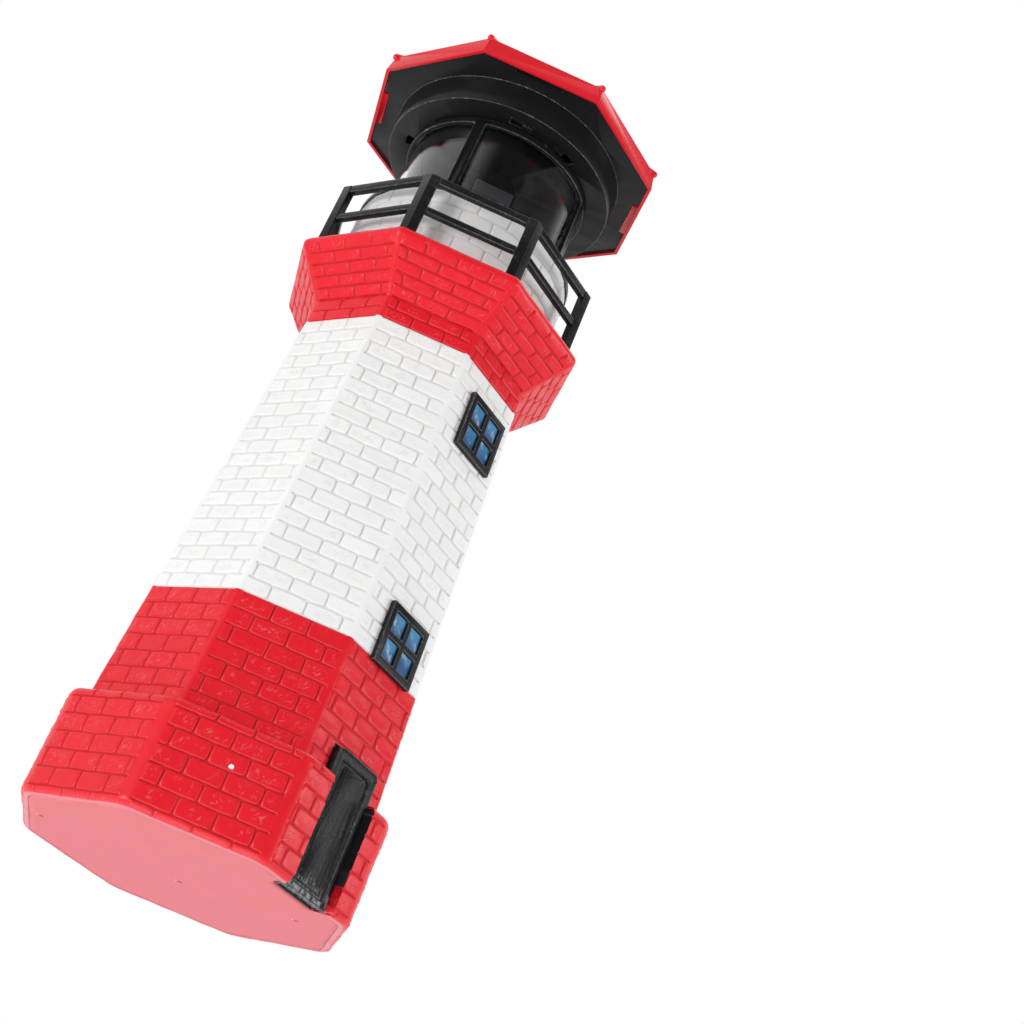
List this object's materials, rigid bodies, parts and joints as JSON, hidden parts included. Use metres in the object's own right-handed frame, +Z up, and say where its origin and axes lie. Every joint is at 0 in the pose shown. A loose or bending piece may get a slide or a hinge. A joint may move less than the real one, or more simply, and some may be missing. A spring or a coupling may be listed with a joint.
{
  "type": "garden lighthouse ornament",
  "caption": "Tall eight-sided brick lighthouse ornament with a railed gallery, a clear lantern and a pitched solar roof over a lamp that revolves.",
  "frame": {"origin": "middle of the face that the tower rests on", "axes": "+Z up along the tower's axis, the door and both windows face -Y"},
  "size_m": [0.1092, 0.1092, 0.3461],
  "materials": {
    "tower_red": "satin paint over a cast resin",
    "tower_white": "satin paint over a cast resin",
    "base_pink": "matt",
    "trim_black": "satin paint",
    "lantern_black": "smooth moulded",
    "window_blue": "painted with white highlights",
    "clear_plastic": "clear moulded",
    "roof_red": "satin moulded",
    "solar_cell": "resin coated cell",
    "foam": "closed foam pad",
    "board_green": "lacquered",
    "part_dark": "moulded",
    "steel": "bright",
    "brass": "bright",
    "battery_green": "printed sleeve",
    "nylon": "natural nylon",
    "grey_plate": "satin",
    "wire_red": "insulated wire",
    "wire_pale": "insulated wire",
    "wire_blue": "insulated wire",
    "wire_dark": "insulated wire",
    "wire_orange": "insulated wire"
  },
  "bodies": {
    "tower": {"base_section": "tower_red", "bottom_plate": "base_pink", "shaft_section": "tower_white", "gallery_section": "tower_red", "gallery_drum": "tower_white", "door": "trim_black", "lower_window_frame": "trim_black", "lower_window_panes": "window_blue", "upper_window_frame": "trim_black", "upper_window_panes": "window_blue", "railing_posts": "trim_black", "railing_top_rail": "trim_black", "railing_mid_rail": "trim_black"},
    "lantern": {"lantern_foot": "lantern_black", "lantern_cage": "lantern_black", "lantern_tube": "clear_plastic"},
    "roof": {"roof_shell": "roof_red", "finial_ball": "roof_red", "lamp_housing": "lantern_black", "solar_panel": "solar_cell", "panel_pad": "foam", "circuit_board": "board_green", "board_parts": "part_dark", "board_screws": "steel", "battery": "battery_green", "battery_holder": "part_dark", "battery_spring": "steel", "battery_contact": "brass", "switch_case": "steel", "motor_bracket": "steel", "bracket_screws": "steel", "gear_motor": "steel", "brush_block": "part_dark", "brushes": "brass", "thrust_washer": "steel", "panel_wires": "wire_red", "battery_wires": "wire_pale", "motor_wires": "wire_blue", "switch_wires": "wire_dark", "brush_wires": "wire_orange"},
    "switch": {"switch_knob": "lantern_black"},
    "lamp": {"lamp_block": "lantern_black", "lamp_plates": "grey_plate", "lamp_leds": "clear_plastic", "lens_caps": "clear_plastic", "lamp_gear": "nylon", "slip_sleeve": "nylon", "slip_rings": "brass", "lamp_wires": "wire_red"},
    "pinion": {"drive_pinion": "brass", "motor_shaft": "steel"}
  },
  "joints": [
    {"name": "head_lift", "type": "slide", "parent": "tower", "child": "lantern", "axis": [0, 0, 1], "range_m": [0, 0.03]},
    {"name": "roof_twist", "type": "hinge", "parent": "lantern", "child": "roof", "pos_m": [0, 0, 0.2897], "axis": [0, 0, 1], "range_deg": [-12, 0]},
    {"name": "switch_slide", "type": "slide", "parent": "roof", "child": "switch", "axis": [-0.7193, 0.6947, 0], "range_m": [0, 0.0044]},
    {"name": "lamp_spin", "type": "hinge", "parent": "roof", "child": "lamp", "pos_m": [0, 0, 0.2897], "axis": [0, 0, 1], "continuous": true},
    {"name": "pinion_spin", "type": "hinge", "parent": "roof", "child": "pinion", "pos_m": [-0.01462, -0.00337, 0.2897], "axis": [0, 0, 1], "continuous": true}
  ],
  "couplings": [
    {"joint": "pinion_spin", "follows": "lamp_spin", "ratio": -4}
  ]
}
